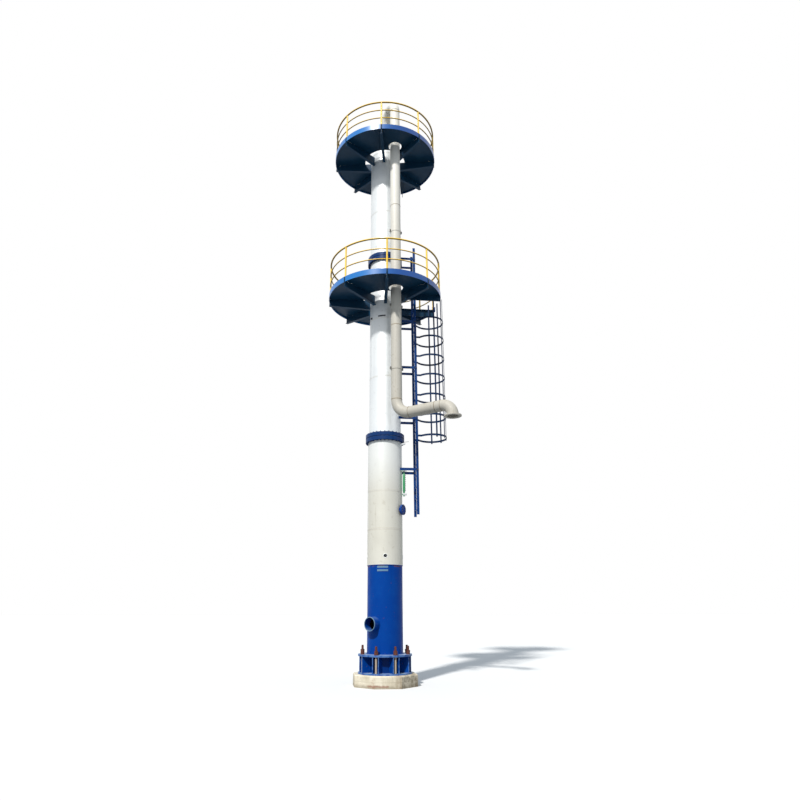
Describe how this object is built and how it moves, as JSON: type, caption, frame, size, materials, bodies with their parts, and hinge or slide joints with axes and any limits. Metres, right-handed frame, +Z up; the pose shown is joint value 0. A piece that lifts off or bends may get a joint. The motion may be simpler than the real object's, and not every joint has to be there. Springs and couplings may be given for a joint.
{
  "type": "distillation column",
  "caption": "Tall skirted distillation column on a concrete plinth, with flanged shell, vapour line, two round platforms and caged ladders.",
  "frame": {"origin": "centre of the plinth's underside, on the column's axis at ground level", "axes": "+Z up along the column's axis, +X towards the lower ladder and its hatch"},
  "size_m": [3.1046, 3.4802, 15.8974],
  "materials": {
    "concrete": "weathered cast concrete",
    "blue_paint": "gloss enamel",
    "navy_paint": "gloss enamel, dusty",
    "shell_steel": "satin",
    "pipe_steel": "satin, warm tint",
    "yellow_paint": "gloss enamel",
    "rusty_steel": "rusted",
    "gasket": "matt",
    "gauge_paint": "gloss enamel"
  },
  "bodies": {
    "root": {"plinth": "concrete", "base_ring": "blue_paint", "anchor_gussets": "blue_paint", "compression_ring": "blue_paint", "anchor_bolts": "rusty_steel", "skirt": "blue_paint", "access_sleeve": "blue_paint", "base_shell": "shell_steel", "bottom_head": "shell_steel", "middle_shell": "shell_steel", "top_shell": "shell_steel", "top_head": "shell_steel", "lower_body_flanges": "blue_paint", "upper_body_flanges": "blue_paint", "body_gaskets": "gasket", "top_nozzle": "pipe_steel", "vapour_return_bend": "pipe_steel", "vapour_downcomer": "pipe_steel", "vapour_lower_elbow": "pipe_steel", "vapour_cross_pipe": "pipe_steel", "vapour_outlet_elbow": "pipe_steel", "vapour_outlet_flange": "pipe_steel", "vapour_guides": "shell_steel", "lower_deck_brackets": "navy_paint", "lower_deck": "navy_paint", "lower_toe_plates": "blue_paint", "lower_rail_posts": "yellow_paint", "lower_top_rail": "yellow_paint", "lower_mid_rails": "yellow_paint", "upper_deck_brackets": "navy_paint", "upper_deck": "navy_paint", "upper_toe_plates": "blue_paint", "upper_rail_posts": "yellow_paint", "upper_top_rail": "yellow_paint", "upper_mid_rails": "yellow_paint", "hatch_side_beams": "navy_paint", "ladder_stringers": "navy_paint", "ladder_rungs": "navy_paint", "ladder_brackets": "navy_paint", "cage_hoops": "navy_paint", "cage_straps": "navy_paint", "drain_nozzle": "blue_paint", "level_gauge": "gauge_paint", "instrument_branch": "shell_steel"}
  },
  "joints": []
}
